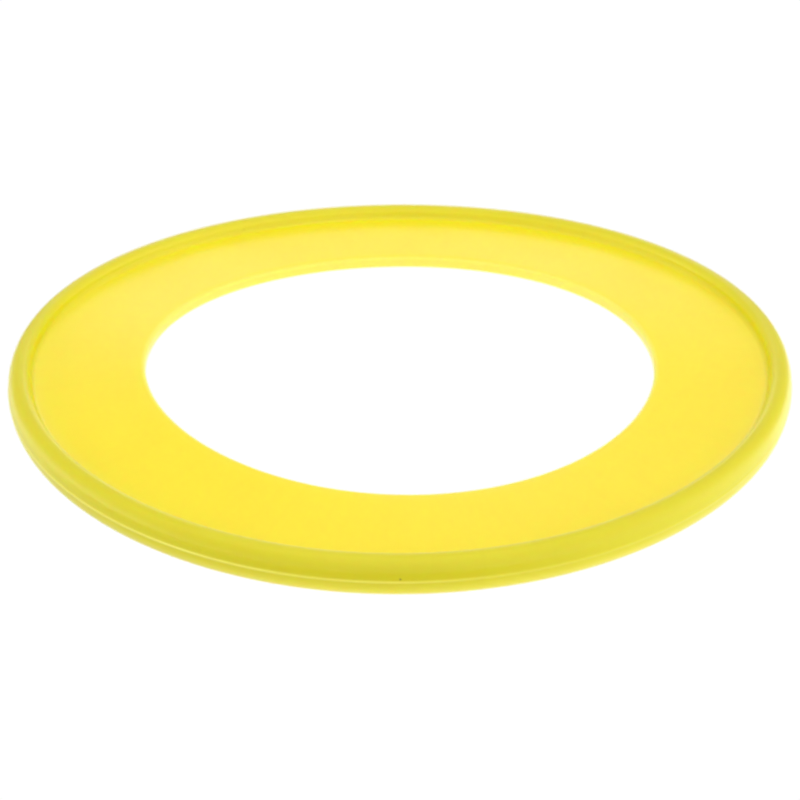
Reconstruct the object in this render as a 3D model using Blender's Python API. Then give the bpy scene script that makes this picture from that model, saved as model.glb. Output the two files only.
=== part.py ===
"""Juggling ring: one polyethylene moulding, a flat grip band inside a thick rounded rim.

Metres, +Z up. The origin is the ring's centre, on the mid plane where the two mould halves met,
and +Z is the axis that the ring spins about in flight. It rests on either side of its rim.
"""

import math

import bmesh
import bpy

# Driving dimensions
OUTER_RADIUS = 0.1200  # over the parting ridge
HOLE_RADIUS = 0.0785
BAND_THICKNESS = 0.0036
BAND_EDGE_ROUND = 0.0008
RIM_HEIGHT = 0.0114
RIM_FOOT_RADIUS = 0.1116  # where the flat band ends and the rim's inner fillet starts
RIM_FILLET = 0.0019
RIM_CREST_ROUND = 0.0024
RIM_DRAFT = math.radians(10)  # lean of the rim's inner wall, and the crease at its foot
SHOULDER_WIDTH = 0.0037  # the outer shoulder is a quarter ellipse
SHOULDER_HEIGHT = 0.0049
RIDGE_PROUD = 0.00015
RIDGE_BASE_HALF = 0.00025
RIDGE_TOP_HALF = 0.00010

# Facets
RING_STEPS = 96
EDGE_STEPS = 2
FILLET_STEPS = 3
CREST_STEPS = 4
SHOULDER_STEPS = 5

PLASTIC_COLOUR = (0.95, 0.78, 0.07, 1.0)
PLASTIC_ROUGHNESS = 0.32
SMOOTH_BELOW = math.radians(35)


def clear_scene():
    for old in list(bpy.data.objects):
        bpy.data.objects.remove(old)


def arc(centre, radii, start, end, steps):
    """Points of an ellipse arc in the (radius, height) plane, both ends included."""
    points = []
    for step in range(steps + 1):
        angle = start + (end - start) * step / steps
        across = centre[0] + radii[0] * math.cos(angle)
        up = centre[1] + radii[1] * math.sin(angle)
        points.append((across, up))
    return points


def hole_edge():
    """From the hole's wall, over its rounded edge, to the band's flat face."""
    round_ = BAND_EDGE_ROUND
    centre = (HOLE_RADIUS + round_, BAND_THICKNESS / 2 - round_)
    return arc(centre, (round_, round_), math.pi, math.pi / 2, EDGE_STEPS)


def inner_fillet():
    """From the crease at the rim's foot up to the steep top of its inner wall."""
    centre = (
        RIM_FOOT_RADIUS - RIM_FILLET * math.sin(RIM_DRAFT),
        BAND_THICKNESS / 2 + RIM_FILLET * math.cos(RIM_DRAFT),
    )
    quarter = math.pi / 2
    return arc(centre, (RIM_FILLET, RIM_FILLET), RIM_DRAFT - quarter, -RIM_DRAFT, FILLET_STEPS)


def crest(wall_top):
    """The rounded inner edge of the rim, carrying on from the leaning wall."""
    round_ = RIM_CREST_ROUND
    centre_up = RIM_HEIGHT / 2 - round_
    tangent_up = centre_up + round_ * math.sin(RIM_DRAFT)
    tangent_across = wall_top[0] + (tangent_up - wall_top[1]) * math.tan(RIM_DRAFT)
    centre = (tangent_across + round_ * math.cos(RIM_DRAFT), centre_up)
    return arc(centre, (round_, round_), math.pi - RIM_DRAFT, math.pi / 2, CREST_STEPS)


def shoulder():
    """From the rim's flat land down to its upright outer wall."""
    wall_radius = OUTER_RADIUS - RIDGE_PROUD
    centre = (wall_radius - SHOULDER_WIDTH, RIM_HEIGHT / 2 - SHOULDER_HEIGHT)
    return arc(centre, (SHOULDER_WIDTH, SHOULDER_HEIGHT), math.pi / 2, 0.0, SHOULDER_STEPS)


def parting_ridge():
    """The upper half of the fine ridge left where the mould halves met."""
    return [
        (OUTER_RADIUS - RIDGE_PROUD, RIDGE_BASE_HALF),
        (OUTER_RADIUS, RIDGE_TOP_HALF),
    ]


def ring_profile():
    """The closed section of the ring, mirrored about its mid plane."""
    fillet = inner_fillet()
    upper = hole_edge() + fillet + crest(fillet[-1]) + shoulder() + parting_ridge()
    lower = [(across, -up) for across, up in reversed(upper)]
    return upper + lower


def turned_mesh(name, profile, steps):
    """The closed (radius, height) profile turned a full circle about Z."""
    shape = bmesh.new()
    corners = [shape.verts.new((across, 0.0, up)) for across, up in profile]
    edges = []
    for index, corner in enumerate(corners):
        edges.append(shape.edges.new((corner, corners[(index + 1) % len(corners)])))
    bmesh.ops.spin(
        shape,
        geom=corners + edges,
        cent=(0.0, 0.0, 0.0),
        axis=(0.0, 0.0, 1.0),
        angle=2 * math.pi,
        steps=steps,
        use_merge=True,
    )
    bmesh.ops.recalc_face_normals(shape, faces=shape.faces)
    mesh = bpy.data.meshes.new(name)
    shape.to_mesh(mesh)
    shape.free()
    mesh.shade_smooth()
    mesh.set_sharp_from_angle(angle=SMOOTH_BELOW)
    return mesh


def plastic():
    """Soft, slightly glossy yellow polyethylene."""
    material = bpy.data.materials.new("yellow_polyethylene")
    material.use_nodes = True
    shader = material.node_tree.nodes["Principled BSDF"]
    shader.inputs["Base Color"].default_value = PLASTIC_COLOUR
    shader.inputs["Roughness"].default_value = PLASTIC_ROUGHNESS
    shader.inputs["Metallic"].default_value = 0.0
    return material


def build():
    clear_scene()
    mesh = turned_mesh("ring_body", ring_profile(), RING_STEPS)
    mesh.materials.append(plastic())
    ring = bpy.data.objects.new("ring_body", mesh)
    bpy.context.scene.collection.objects.link(ring)


build()
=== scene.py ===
import math

import bpy
import numpy as np
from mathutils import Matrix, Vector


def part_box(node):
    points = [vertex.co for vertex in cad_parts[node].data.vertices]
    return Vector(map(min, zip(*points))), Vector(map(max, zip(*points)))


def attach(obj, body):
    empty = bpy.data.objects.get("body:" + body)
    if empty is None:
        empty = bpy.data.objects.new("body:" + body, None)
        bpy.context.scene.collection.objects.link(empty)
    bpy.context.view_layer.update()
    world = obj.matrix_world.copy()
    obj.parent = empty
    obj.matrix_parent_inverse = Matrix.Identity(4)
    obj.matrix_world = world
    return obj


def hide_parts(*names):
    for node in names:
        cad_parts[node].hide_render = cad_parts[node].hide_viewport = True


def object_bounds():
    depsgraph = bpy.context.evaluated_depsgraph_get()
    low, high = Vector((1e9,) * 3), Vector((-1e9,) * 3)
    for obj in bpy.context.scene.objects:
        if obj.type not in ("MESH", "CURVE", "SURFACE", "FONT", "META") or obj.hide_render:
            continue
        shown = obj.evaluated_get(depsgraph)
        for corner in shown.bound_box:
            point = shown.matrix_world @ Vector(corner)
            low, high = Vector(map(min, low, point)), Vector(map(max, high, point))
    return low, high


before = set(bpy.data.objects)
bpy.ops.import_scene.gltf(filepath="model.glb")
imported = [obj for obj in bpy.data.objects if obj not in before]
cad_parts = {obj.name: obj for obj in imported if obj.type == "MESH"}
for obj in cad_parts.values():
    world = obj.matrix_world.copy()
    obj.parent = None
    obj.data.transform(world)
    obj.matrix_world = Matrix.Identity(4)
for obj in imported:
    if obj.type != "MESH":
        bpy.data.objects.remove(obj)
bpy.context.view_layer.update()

# A juggling ring: one moulding in translucent yellow plastic, lying on a white table.
# Metres, +Z up, with the ring's centre at the origin. Colours are linear.

# ---------------------------------------------------------------- sizes
# The outside, the height and the hole come from the CAD solid. The other sizes are the ones that
# it was built with, apart from the parting ridge, which is drawn wider, as the photo shows it, and
# the set that a thin ring takes, which the CAD leaves out.
CAD_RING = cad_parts["ring_body"]
RING_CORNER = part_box("ring_body")[1]
OUTER_RADIUS = RING_CORNER.x
RIM_HALF_HEIGHT = RING_CORNER.z
HOLE_RADIUS = min(math.hypot(v.co.x, v.co.y) for v in CAD_RING.data.vertices)

BAND_HALF = 0.0018
BAND_EDGE_ROUND = 0.0008
RIM_FOOT_RADIUS = 0.1116  # where the flat band ends and the rim's fillet starts
RIM_FILLET = 0.0019
RIM_CREST_ROUND = 0.0024
RIM_DRAFT = math.radians(10)
SHOULDER_WIDTH = 0.0037  # the outer shoulder is a quarter ellipse
SHOULDER_HEIGHT = 0.0049
RIDGE_PROUD = 0.00015
RIDGE_BASE_HALF = 0.00046
RIDGE_TOP_HALF = 0.00024
RIM_BOW = 0.0016  # the sides stand this far above, and the front and back below, the mean plane
BAND_LEAN = 0.00084  # the band's inner edge is this much low on the right, and high on the left
BAND_TWIST = 0.00061  # and this much high or low half way between the sides and the front or back

TURNS = 480  # facets round the ring
EDGE_STEPS = 6  # facets along each stretch of the section
BAND_STEPS = 10
FILLET_STEPS = 8
CREST_STEPS = 12
LAND_STEPS = 3
SHOULDER_STEPS = 14
QUARTER = math.pi / 2


# ---------------------------------------------------------------- the ring's section
def arc(centre, radii, start, end, steps):
    """Points of an ellipse arc in the (radius, height) plane, both ends included."""
    points = []
    for step in range(steps + 1):
        angle = start + (end - start) * step / steps
        across = centre[0] + radii[0] * math.cos(angle)
        up = centre[1] + radii[1] * math.sin(angle)
        points.append((across, up))
    return points


def straight(start, end, steps):
    """Points between start and end, both left out."""
    points = []
    for step in range(1, steps):
        share = step / steps
        across = start[0] + (end[0] - start[0]) * share
        up = start[1] + (end[1] - start[1]) * share
        points.append((across, up))
    return points


def hole_edge():
    """From the hole's wall, over its rounded edge, to the band's flat face."""
    radii = (BAND_EDGE_ROUND, BAND_EDGE_ROUND)
    centre = (HOLE_RADIUS + BAND_EDGE_ROUND, BAND_HALF - BAND_EDGE_ROUND)
    return arc(centre, radii, math.pi, QUARTER, EDGE_STEPS)


def inner_fillet():
    """From the crease at the rim's foot up to the steep top of its inner wall."""
    radii = (RIM_FILLET, RIM_FILLET)
    centre_across = RIM_FOOT_RADIUS - RIM_FILLET * math.sin(RIM_DRAFT)
    centre_up = BAND_HALF + RIM_FILLET * math.cos(RIM_DRAFT)
    return arc((centre_across, centre_up), radii, RIM_DRAFT - QUARTER, -RIM_DRAFT, FILLET_STEPS)


def crest(wall_top):
    """The rounded inner edge of the rim, carrying on from the leaning wall."""
    radii = (RIM_CREST_ROUND, RIM_CREST_ROUND)
    centre_up = RIM_HALF_HEIGHT - RIM_CREST_ROUND
    tangent_up = centre_up + RIM_CREST_ROUND * math.sin(RIM_DRAFT)
    tangent_across = wall_top[0] + (tangent_up - wall_top[1]) * math.tan(RIM_DRAFT)
    centre_across = tangent_across + RIM_CREST_ROUND * math.cos(RIM_DRAFT)
    return arc((centre_across, centre_up), radii, math.pi - RIM_DRAFT, QUARTER, CREST_STEPS)


def shoulder():
    """From the rim's narrow flat land down to its upright outer wall."""
    radii = (SHOULDER_WIDTH, SHOULDER_HEIGHT)
    centre_across = OUTER_RADIUS - RIDGE_PROUD - SHOULDER_WIDTH
    centre_up = RIM_HALF_HEIGHT - SHOULDER_HEIGHT
    return arc((centre_across, centre_up), radii, QUARTER, 0.0, SHOULDER_STEPS)


def section():
    """The closed section of the flat ring, mirrored about its mid plane."""
    edge = hole_edge()
    fillet = inner_fillet()
    top = crest(fillet[-1])
    side = shoulder()
    band = straight(edge[-1], fillet[0], BAND_STEPS)
    land = straight(top[-1], side[0], LAND_STEPS)
    ridge = [(OUTER_RADIUS - RIDGE_PROUD, RIDGE_BASE_HALF), (OUTER_RADIUS, RIDGE_TOP_HALF)]
    upper = edge + band + fillet + top + land + side + ridge
    return upper + [(across, -up) for across, up in reversed(upper)]


def lift_of(across, turn):
    """How far the set that the thin plastic has taken lifts a point off the flat ring."""
    free = np.clip((RIM_FOOT_RADIUS - across) / (RIM_FOOT_RADIUS - HOLE_RADIUS), 0.0, 1.0)
    lift = RIM_BOW * np.cos(2 * turn)
    return lift + free * (BAND_TWIST * np.sin(2 * turn) - BAND_LEAN * np.cos(turn))


def ring_mesh(name):
    """The section turned round the axis in TURNS steps, and bowed."""
    points = np.array(section())
    count = len(points)
    turn = np.linspace(0, 2 * math.pi, TURNS, endpoint=False)[:, None]
    across = points[None, :, 0]
    up = points[None, :, 1]
    x = across * np.cos(turn)
    y = across * np.sin(turn)
    z = up + lift_of(across, turn)
    corners = np.stack([x, y, z], -1).reshape(-1, 3)
    faces = []
    for step in range(TURNS):
        here = step * count
        there = (step + 1) % TURNS * count
        for k in range(count):
            after = (k + 1) % count
            faces.append((here + k, here + after, there + after, there + k))
    mesh = bpy.data.meshes.new(name)
    mesh.from_pydata(corners.tolist(), [], faces)
    mesh.validate()
    mesh.shade_smooth()
    return mesh


# ---------------------------------------------------------------- node helpers
def node(tree, kind, **values):
    made = tree.nodes.new(kind)
    for key, value in values.items():
        setattr(made, key, value)
    return made


def wire(tree, source, target):
    """Link an output to an input, or set the input when source is a plain value."""
    if hasattr(source, "node"):
        tree.links.new(source, target)
    else:
        target.default_value = source


def maths(tree, operation, first, second=0.0):
    made = node(tree, "ShaderNodeMath", operation=operation)
    wire(tree, first, made.inputs[0])
    wire(tree, second, made.inputs[1])
    return made.outputs[0]


def product(tree, first, *others):
    for other in others:
        first = maths(tree, "MULTIPLY", first, other)
    return first


def total(tree, first, *others):
    for other in others:
        first = maths(tree, "ADD", first, other)
    return first


def length_of(tree, x, y):
    return maths(tree, "SQRT", total(tree, product(tree, x, x), product(tree, y, y)))


def split(tree, where):
    parts = node(tree, "ShaderNodeSeparateXYZ")
    wire(tree, where, parts.inputs[0])
    return parts.outputs["X"], parts.outputs["Y"], parts.outputs["Z"]


def ramp(tree, value, ends, results=(0.0, 1.0)):
    """The first result up to the first end, the second result past the second, smooth between."""
    made = node(tree, "ShaderNodeMapRange", interpolation_type="SMOOTHSTEP")
    wire(tree, value, made.inputs["Value"])
    made.inputs["From Min"].default_value = ends[0]
    made.inputs["From Max"].default_value = ends[1]
    made.inputs["To Min"].default_value = results[0]
    made.inputs["To Max"].default_value = results[1]
    return made.outputs["Result"]


def blend(tree, share, first, second):
    """The first number where share is 0, and the second where it is 1."""
    made = node(tree, "ShaderNodeMix", data_type="FLOAT")
    wire(tree, share, made.inputs[0])
    wire(tree, first, made.inputs[2])
    wire(tree, second, made.inputs[3])
    return made.outputs[0]


def mixed(tree, share, first, second, way="MIX"):
    """The first colour where share is 0, and the second, or the two multiplied, where it is 1."""
    made = node(tree, "ShaderNodeMix", data_type="RGBA", blend_type=way)
    colours = [socket for socket in made.inputs if socket.type == "RGBA"]
    wire(tree, share, made.inputs["Factor"])
    wire(tree, first, colours[0])
    wire(tree, second, colours[1])
    return [socket for socket in made.outputs if socket.type == "RGBA"][0]


def noise(tree, where, scale, detail=2.0, roughness=0.5):
    made = node(tree, "ShaderNodeTexNoise")
    wire(tree, where, made.inputs["Vector"])
    made.inputs["Scale"].default_value = scale
    made.inputs["Detail"].default_value = detail
    made.inputs["Roughness"].default_value = roughness
    return made.outputs["Fac"]


# ---------------------------------------------------------------- plastic
# Scales are cells a metre. A stretch is cells a radian round the ring, then cells a metre across
# its section. Ends are where a ramp starts and stops.
BAND_COLOUR = (0.925, 0.822, 0.0065, 1)
# Painted shade: the rim is the same plastic as the band, coloured darker and greener for the light
# its thickness holds back
RIM_SHADE_COLOUR = (0.745, 0.680, 0.004, 1)
DEEPER_TINT = (0.93, 0.91, 0.75, 1)
# Painted glow: the hole's thin rounded edge is coloured paler, as if lit through from the table
# below
HOLE_EDGE_GLOW_COLOUR = (0.96, 0.86, 0.18, 1)
# Painted highlight on the parting-line fin, and the real whitening of scuffs: one pale colour
# serves both
FIN_HIGHLIGHT_AND_SCUFF_COLOUR = (0.99, 0.92, 0.15, 1)
SPECK_COLOUR = (0.20, 0.13, 0.02, 1)
PLASTIC_IOR = 1.5
LIGHT_REACH = (1.0, 0.6, 0.15)  # red, green and blue, as shares of the scale
LIGHT_REACH_SCALE = 0.003  # how far red light travels inside the plastic

RIM_SHADE_ENDS = (RIM_FOOT_RADIUS - 0.0002, RIM_FOOT_RADIUS + 0.0030)  # painted shade, from none on the band to full on the rim
CLOUD_SCALE = 28.0
CLOUD_ENDS = (0.35, 0.68)
CLOUD_DEPTH = 0.22
STREAK_STRETCH = (46.0, 14.0)
STREAK_ROUGHNESS = 0.6
STREAK_ENDS = (0.40, 0.75)
STREAK_DEPTH = 0.12

HOLE_EDGE_GLOW_ENDS = (HOLE_RADIUS + 0.0002, HOLE_RADIUS + 0.0016)
HOLE_EDGE_GLOW_SHARE = 0.75
FIN_HEIGHT_ENDS = (RIDGE_TOP_HALF, RIDGE_TOP_HALF + 0.0002)
FIN_RADIUS_ENDS = (0.1190, 0.1196)
FIN_WEAR_SCALE = 14.0
FIN_WEAR_ENDS = (0.36, 0.60)
FIN_WEAR_LEAST = 0.6
FIN_HIGHLIGHT_SIDE_ENDS = (-0.55, 0.60)  # the painted highlight is sharp on the left and faded on the right
FIN_HIGHLIGHT_SIDE_LEAST = 0.1
FIN_SOLID = 0.7  # how much less light scatters inside the plastic at the fin

SCUFF_STRETCH = (1.6, 1100.0)
SCUFF_RADIUS_ENDS = (0.1140, 0.1152)
SCUFF_PATCH_SCALE = 36.0
SCUFF_PATCH_ENDS = (0.50, 0.68)
SCUFF_HAIR_ROUGHNESS = 0.65
SCUFF_HAIR_ENDS = (0.60, 0.72)
SCUFF_PALENESS = 0.30
SCUFF_DULLNESS = 0.10
SCUFF_RELIEF = -0.3

SPECK_SCALE = 55.0
SPECK_CHOSEN_OVER = 0.80
SPECK_ENDS = (0.010, 0.022)
SPECK_SHARE = 0.75

GRAIN_SCALE = 420.0
GRAIN_ENDS = (0.3, 0.7)
SATIN_ROUGHNESS = (0.29, 0.33)  # the denoiser leaves flecks where this crosses 0.27
CLOUD_DULL_ENDS = (0.4, 0.7)
CLOUD_DULLNESS = 0.02
PEEL_SCALE = 300.0
TURNING_RELIEF = 0.22
RELIEF_DEPTH = 0.00001
SECTION_SLANT = 1.7  # so that a mark's place in the section changes on upright walls too


class Places:
    """Where a point of the ring lies, as outputs of the material's nodes."""

    def __init__(self, tree):
        self.place = node(tree, "ShaderNodeTexCoord").outputs["Object"]
        x, y, z = split(tree, self.place)
        x_squared = product(tree, x, x)
        y_squared = product(tree, y, y)
        squared = total(tree, x_squared, y_squared)
        saddle = maths(tree, "DIVIDE", maths(tree, "SUBTRACT", x_squared, y_squared), squared)
        bow = product(tree, saddle, RIM_BOW)
        self.across = maths(tree, "SQRT", squared)
        self.up = maths(tree, "SUBTRACT", z, bow)
        self.rightwards = maths(tree, "DIVIDE", x, self.across)
        self.backwards = maths(tree, "DIVIDE", y, self.across)

    def stretched(self, tree, round_scale, section_scale):
        """A place for noise, with its own scale round the ring and its own across the section."""
        made = node(tree, "ShaderNodeCombineXYZ")
        wire(tree, product(tree, self.rightwards, round_scale), made.inputs["X"])
        wire(tree, product(tree, self.backwards, round_scale), made.inputs["Y"])
        slant = total(tree, self.across, product(tree, self.up, SECTION_SLANT))
        wire(tree, product(tree, slant, section_scale), made.inputs["Z"])
        return made.outputs[0]


def body_colour(tree, at, clouds):
    """Warm on the thin band, with painted shade making the thick rim darker and greener because
    less light gets through it. Pigment clouds and flow streaks on top.
    """
    # Painted shade: the rim gets a darker, greener colour than the band
    thick = ramp(tree, at.across, RIM_SHADE_ENDS)
    colour = mixed(tree, thick, BAND_COLOUR, RIM_SHADE_COLOUR)
    streaks = noise(tree, at.stretched(tree, *STREAK_STRETCH), 1.0, 3.0, STREAK_ROUGHNESS)
    cloud_depth = ramp(tree, clouds, CLOUD_ENDS, (0.0, CLOUD_DEPTH))
    streak_depth = ramp(tree, streaks, STREAK_ENDS, (0.0, STREAK_DEPTH))
    return mixed(tree, total(tree, cloud_depth, streak_depth), colour, DEEPER_TINT, "MULTIPLY")


def fin_highlight_share(tree, at):
    """The parting line's fin, painted pale as a highlight that is worn in places and fades towards
    the right.
    """
    low = ramp(tree, maths(tree, "ABSOLUTE", at.up), FIN_HEIGHT_ENDS, (1.0, 0.0))
    outside = ramp(tree, at.across, FIN_RADIUS_ENDS)
    worn = ramp(tree, noise(tree, at.place, FIN_WEAR_SCALE), FIN_WEAR_ENDS, (FIN_WEAR_LEAST, 1.0))
    # the painted highlight fades towards the right, where less light falls on the fin
    faded = ramp(tree, at.rightwards, FIN_HIGHLIGHT_SIDE_ENDS, (1.0, FIN_HIGHLIGHT_SIDE_LEAST))
    return product(tree, product(tree, low, outside), product(tree, worn, faded))


def scuff_share(tree, at, along):
    """Hairline scuffs from catches and drops, in patches on the rim's crest and shoulders."""
    exposed = ramp(tree, at.across, SCUFF_RADIUS_ENDS)
    patches = ramp(tree, noise(tree, at.place, SCUFF_PATCH_SCALE), SCUFF_PATCH_ENDS)
    hairs = ramp(tree, noise(tree, along, 1.0, 3.0, SCUFF_HAIR_ROUGHNESS), SCUFF_HAIR_ENDS)
    return product(tree, exposed, patches, hairs)


def speck_share(tree, at):
    """A few specks of dust and dark pigment, in the cells whose random tint is high enough."""
    cells = node(tree, "ShaderNodeTexVoronoi")
    wire(tree, at.place, cells.inputs["Vector"])
    cells.inputs["Scale"].default_value = SPECK_SCALE
    tint = node(tree, "ShaderNodeSeparateColor")
    wire(tree, cells.outputs["Color"], tint.inputs[0])
    chosen = maths(tree, "GREATER_THAN", tint.outputs[0], SPECK_CHOSEN_OVER)
    spot = ramp(tree, cells.outputs["Distance"], SPECK_ENDS, (SPECK_SHARE, 0.0))
    return product(tree, chosen, spot)


def gloss(tree, at, clouds, scuffs):
    """Satin roughness, duller in the clouds and where it is scuffed."""
    satin = ramp(tree, noise(tree, at.place, GRAIN_SCALE), GRAIN_ENDS, SATIN_ROUGHNESS)
    dull = ramp(tree, clouds, CLOUD_DULL_ENDS, (0.0, CLOUD_DULLNESS))
    return total(tree, satin, product(tree, scuffs, SCUFF_DULLNESS), dull)


def relief(tree, at, along, scuffs):
    """Orange peel, the mould's turning marks, and the scuffs."""
    peel = noise(tree, at.place, PEEL_SCALE)
    turning = product(tree, noise(tree, along, 1.0), TURNING_RELIEF)
    bump = node(tree, "ShaderNodeBump")
    bump.inputs["Strength"].default_value = 1.0
    bump.inputs["Distance"].default_value = RELIEF_DEPTH
    height = total(tree, peel, turning, product(tree, scuffs, SCUFF_RELIEF))
    wire(tree, height, bump.inputs["Height"])
    return bump.outputs[0]


def plastic():
    material = bpy.data.materials.new("ring_plastic")
    material.use_nodes = True
    tree = material.node_tree
    shader = tree.nodes["Principled BSDF"]
    at = Places(tree)
    along = at.stretched(tree, *SCUFF_STRETCH)
    clouds = noise(tree, at.place, CLOUD_SCALE, 3.0)
    fin = fin_highlight_share(tree, at)
    scuffs = scuff_share(tree, at, along)

    colour = body_colour(tree, at, clouds)
    # Painted glow: paler colour round the hole's edge
    edge = ramp(tree, at.across, HOLE_EDGE_GLOW_ENDS, (HOLE_EDGE_GLOW_SHARE, 0.0))
    colour = mixed(tree, edge, colour, HOLE_EDGE_GLOW_COLOUR)
    # Painted highlight: the fin is coloured pale
    colour = mixed(tree, fin, colour, FIN_HIGHLIGHT_AND_SCUFF_COLOUR)
    colour = mixed(tree, product(tree, scuffs, SCUFF_PALENESS), colour, FIN_HIGHLIGHT_AND_SCUFF_COLOUR)
    colour = mixed(tree, speck_share(tree, at), colour, SPECK_COLOUR)

    let_in = maths(tree, "SUBTRACT", 1.0, product(tree, fin, FIN_SOLID))
    wire(tree, colour, shader.inputs["Base Color"])
    wire(tree, let_in, shader.inputs["Subsurface Weight"])
    wire(tree, gloss(tree, at, clouds, scuffs), shader.inputs["Roughness"])
    wire(tree, relief(tree, at, along, scuffs), shader.inputs["Normal"])
    shader.inputs["IOR"].default_value = PLASTIC_IOR
    shader.inputs["Subsurface Radius"].default_value = LIGHT_REACH
    shader.inputs["Subsurface Scale"].default_value = LIGHT_REACH_SCALE
    return material


def make_ring():
    ring = bpy.data.objects.new("juggling_ring", ring_mesh("juggling_ring"))
    bpy.context.scene.collection.objects.link(ring)
    ring.data.materials.append(plastic())
    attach(ring, "root")
    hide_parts("ring_body")


# ---------------------------------------------------------------- room
# How bright the white room and the white table are as the plastic sees them. The room goes by
# height and the table by distance from the ring, and both by the side that the light comes from,
# because windows and lamps don't light a room evenly. Each row of strengths follows COMPASS.
COMPASS = (
    "back",
    "back_left",
    "left",
    "front_left",
    "front",
    "front_right",
    "right",
    "back_right",
)
SKY_LOW = (0.53, 0.46, 2.20, 1.40, 1.10, 1.50, 1.95, 0.48)
SKY_MIDDLE = (0.56, 0.54, 1.04, 0.72, 0.84, 1.19, 1.44, 0.56)
SKY_HIGH = (0.61, 0.70, 1.10, 0.74, 1.15, 1.05, 1.14, 0.90)
SKY_TOP = 1.22
TABLE_FOOT = (0.55, 0.55, 0.96, 0.93, 1.22, 1.28, 1.45, 0.69)
TABLE_NEAR = (0.50, 0.55, 0.97, 0.71, 0.38, 1.05, 1.50, 0.85)
TABLE_FAR = (0.90, 0.42, 1.65, 0.68, 0.38, 1.15, 1.95, 0.50)
TABLE_UNDER_HOLE = 0.86
TABLE_UNDER_BAND = 1.95
BACKDROP = 1.5  # white paper that hangs behind the ring
STRONGEST = 3.0  # the ramps hold strengths as shares of this one
SEEN_WHITE = 1.02  # what the camera itself sees of the room and the table
WHITE = (1, 1, 1, 1)
BLACK = (0, 0, 0, 1)

# Where one zone of the sky hands over to the next, as the sine of the height above the table
LOW_ENDS = (math.sin(math.radians(8)), math.sin(math.radians(20)))
MIDDLE_ENDS = (math.sin(math.radians(27)), math.sin(math.radians(42)))
TOP_STARTS = (math.sin(math.radians(55)), math.sin(math.radians(70)))
BACKDROP_SIDES = (math.cos(math.radians(16)), math.cos(math.radians(3)))
BACKDROP_TOP = (math.sin(math.radians(22)), math.sin(math.radians(26.5)))

# Where one zone of the table hands over to the next, as the distance from the ring's axis
HOLE_GLOW_ENDS = (HOLE_RADIUS - 0.004, HOLE_RADIUS + 0.004)
BAND_GLOW_ENDS = (0.101, 0.110)
TABLE_FOOT_ENDS = (0.124, 0.134)
TABLE_NEAR_ENDS = (0.140, 0.165)
FLOOR_GAP = 0.0001
FLOOR_HALF = 4.0


def around(tree, x, y, strengths):
    """Strength by compass direction, run smoothly between the named ones."""
    turn = maths(tree, "ARCTAN2", x, product(tree, y, -1.0))
    share = total(tree, maths(tree, "DIVIDE", turn, 2 * math.pi), 0.5)
    made = node(tree, "ShaderNodeValToRGB")
    wire(tree, share, made.inputs[0])
    made.color_ramp.interpolation = "EASE"
    stops = made.color_ramp.elements
    for index in range(1, len(COMPASS)):
        stops.new(index / len(COMPASS))
    for index, stop in enumerate(stops):
        level = strengths[index % len(COMPASS)] / STRONGEST
        stop.color = (level, level, level, 1.0)
    return product(tree, made.outputs["Color"], STRONGEST)


def camera_ray(tree):
    return node(tree, "ShaderNodeLightPath").outputs["Is Camera Ray"]


def table_glow(tree):
    """The table's strength by zone: seen through the hole, under the band, and round the ring."""
    x, y, _ = split(tree, node(tree, "ShaderNodeNewGeometry").outputs["Position"])
    away = length_of(tree, x, y)
    foot = around(tree, x, y, TABLE_FOOT)
    near = around(tree, x, y, TABLE_NEAR)
    far = around(tree, x, y, TABLE_FAR)
    under = ramp(tree, away, HOLE_GLOW_ENDS)
    glow = blend(tree, under, TABLE_UNDER_HOLE, TABLE_UNDER_BAND)
    table = blend(tree, ramp(tree, away, TABLE_FOOT_ENDS), foot, near)
    table = blend(tree, ramp(tree, away, TABLE_NEAR_ENDS), table, far)
    return blend(tree, ramp(tree, away, BAND_GLOW_ENDS), glow, table)


def floor_white():
    """Shines on the ring by zone, and looks plain white to the camera."""
    material = bpy.data.materials.new("floor_white")
    material.use_nodes = True
    tree = material.node_tree
    shader = tree.nodes["Principled BSDF"]
    seen = camera_ray(tree)
    shader.inputs["Base Color"].default_value = BLACK
    shader.inputs["Roughness"].default_value = 1.0
    shader.inputs["Specular IOR Level"].default_value = 0.0
    shader.inputs["Emission Color"].default_value = WHITE
    strength = blend(tree, seen, table_glow(tree), SEEN_WHITE)
    wire(tree, strength, shader.inputs["Emission Strength"])

    # A camera below the floor looks through it, so the underside can be seen
    from_below = node(tree, "ShaderNodeNewGeometry").outputs["Backfacing"]
    see_through = node(tree, "ShaderNodeMixShader")
    wire(tree, product(tree, seen, from_below), see_through.inputs[0])
    wire(tree, shader.outputs[0], see_through.inputs[1])
    wire(tree, node(tree, "ShaderNodeBsdfTransparent").outputs[0], see_through.inputs[2])
    wire(tree, see_through.outputs[0], tree.nodes["Material Output"].inputs["Surface"])
    return material


def make_floor():
    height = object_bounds()[0].z - FLOOR_GAP
    low = -FLOOR_HALF
    high = FLOOR_HALF
    corners = [(low, low, 0), (high, low, 0), (high, high, 0), (low, high, 0)]
    mesh = bpy.data.meshes.new("floor")
    mesh.from_pydata(corners, [], [(0, 1, 2, 3)])
    mesh.materials.append(floor_white())
    floor = bpy.data.objects.new("floor", mesh)
    bpy.context.scene.collection.objects.link(floor)
    floor.location.z = height


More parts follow.
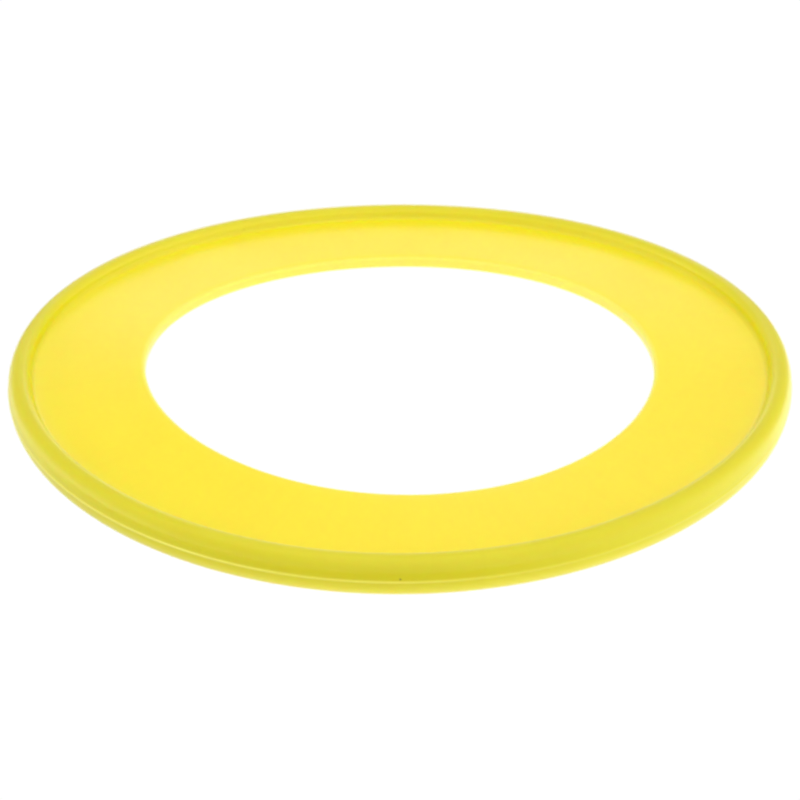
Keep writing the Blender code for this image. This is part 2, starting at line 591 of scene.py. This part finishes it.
def room_strength(tree):
    x, y, z = split(tree, node(tree, "ShaderNodeTexCoord").outputs["Generated"])
    low = around(tree, x, y, SKY_LOW)
    middle = around(tree, x, y, SKY_MIDDLE)
    high = around(tree, x, y, SKY_HIGH)
    sky = blend(tree, ramp(tree, z, LOW_ENDS), low, middle)
    sky = blend(tree, ramp(tree, z, MIDDLE_ENDS), sky, high)
    sky = blend(tree, ramp(tree, z, TOP_STARTS), sky, SKY_TOP)
    backwards = maths(tree, "DIVIDE", y, length_of(tree, x, y))
    sides = ramp(tree, backwards, BACKDROP_SIDES)
    below_top = ramp(tree, z, BACKDROP_TOP, (1.0, 0.0))
    return blend(tree, product(tree, sides, below_top), sky, BACKDROP)


def make_world():
    world = bpy.data.worlds.new("studio")
    bpy.context.scene.world = world
    world.use_nodes = True
    tree = world.node_tree
    background = tree.nodes["Background"]
    background.inputs["Color"].default_value = WHITE
    strength = blend(tree, camera_ray(tree), room_strength(tree), SEEN_WHITE)
    wire(tree, strength, background.inputs["Strength"])


# ---------------------------------------------------------------- camera
# Where the photographer stood, and how far the lens is tipped down past the ring's centre.
CAMERA_DISTANCE = 2.5924 * 2 * OUTER_RADIUS
CAMERA_ELEVATION = math.radians(27.42)
CAMERA_EXTRA_TILT = math.radians(1.05)
CAMERA_ROLL = math.radians(-0.22)
LENS_LENGTH = 90  # millimetres
SENSOR_WIDTH = 36  # millimetres
FOCUS_DISTANCE = 0.30  # in front of the ring, so that all of it is a little soft
LENS_STOP = 118.0


def make_camera():
    lens = bpy.data.cameras.new("camera")
    lens.lens = LENS_LENGTH
    lens.sensor_width = SENSOR_WIDTH
    lens.dof.use_dof = True
    lens.dof.focus_distance = FOCUS_DISTANCE
    lens.dof.aperture_fstop = LENS_STOP
    camera = bpy.data.objects.new("camera", lens)
    back = CAMERA_DISTANCE * math.cos(CAMERA_ELEVATION)
    height = CAMERA_DISTANCE * math.sin(CAMERA_ELEVATION)
    camera.location = (0, -back, height)
    camera.rotation_euler = (QUARTER - CAMERA_ELEVATION - CAMERA_EXTRA_TILT, 0, 0)
    camera.rotation_euler.rotate_axis("Z", CAMERA_ROLL)
    bpy.context.scene.collection.objects.link(camera)
    bpy.context.scene.camera = camera


make_ring()
make_floor()
make_world()
make_camera()
bpy.context.scene.view_settings.view_transform = "Standard"
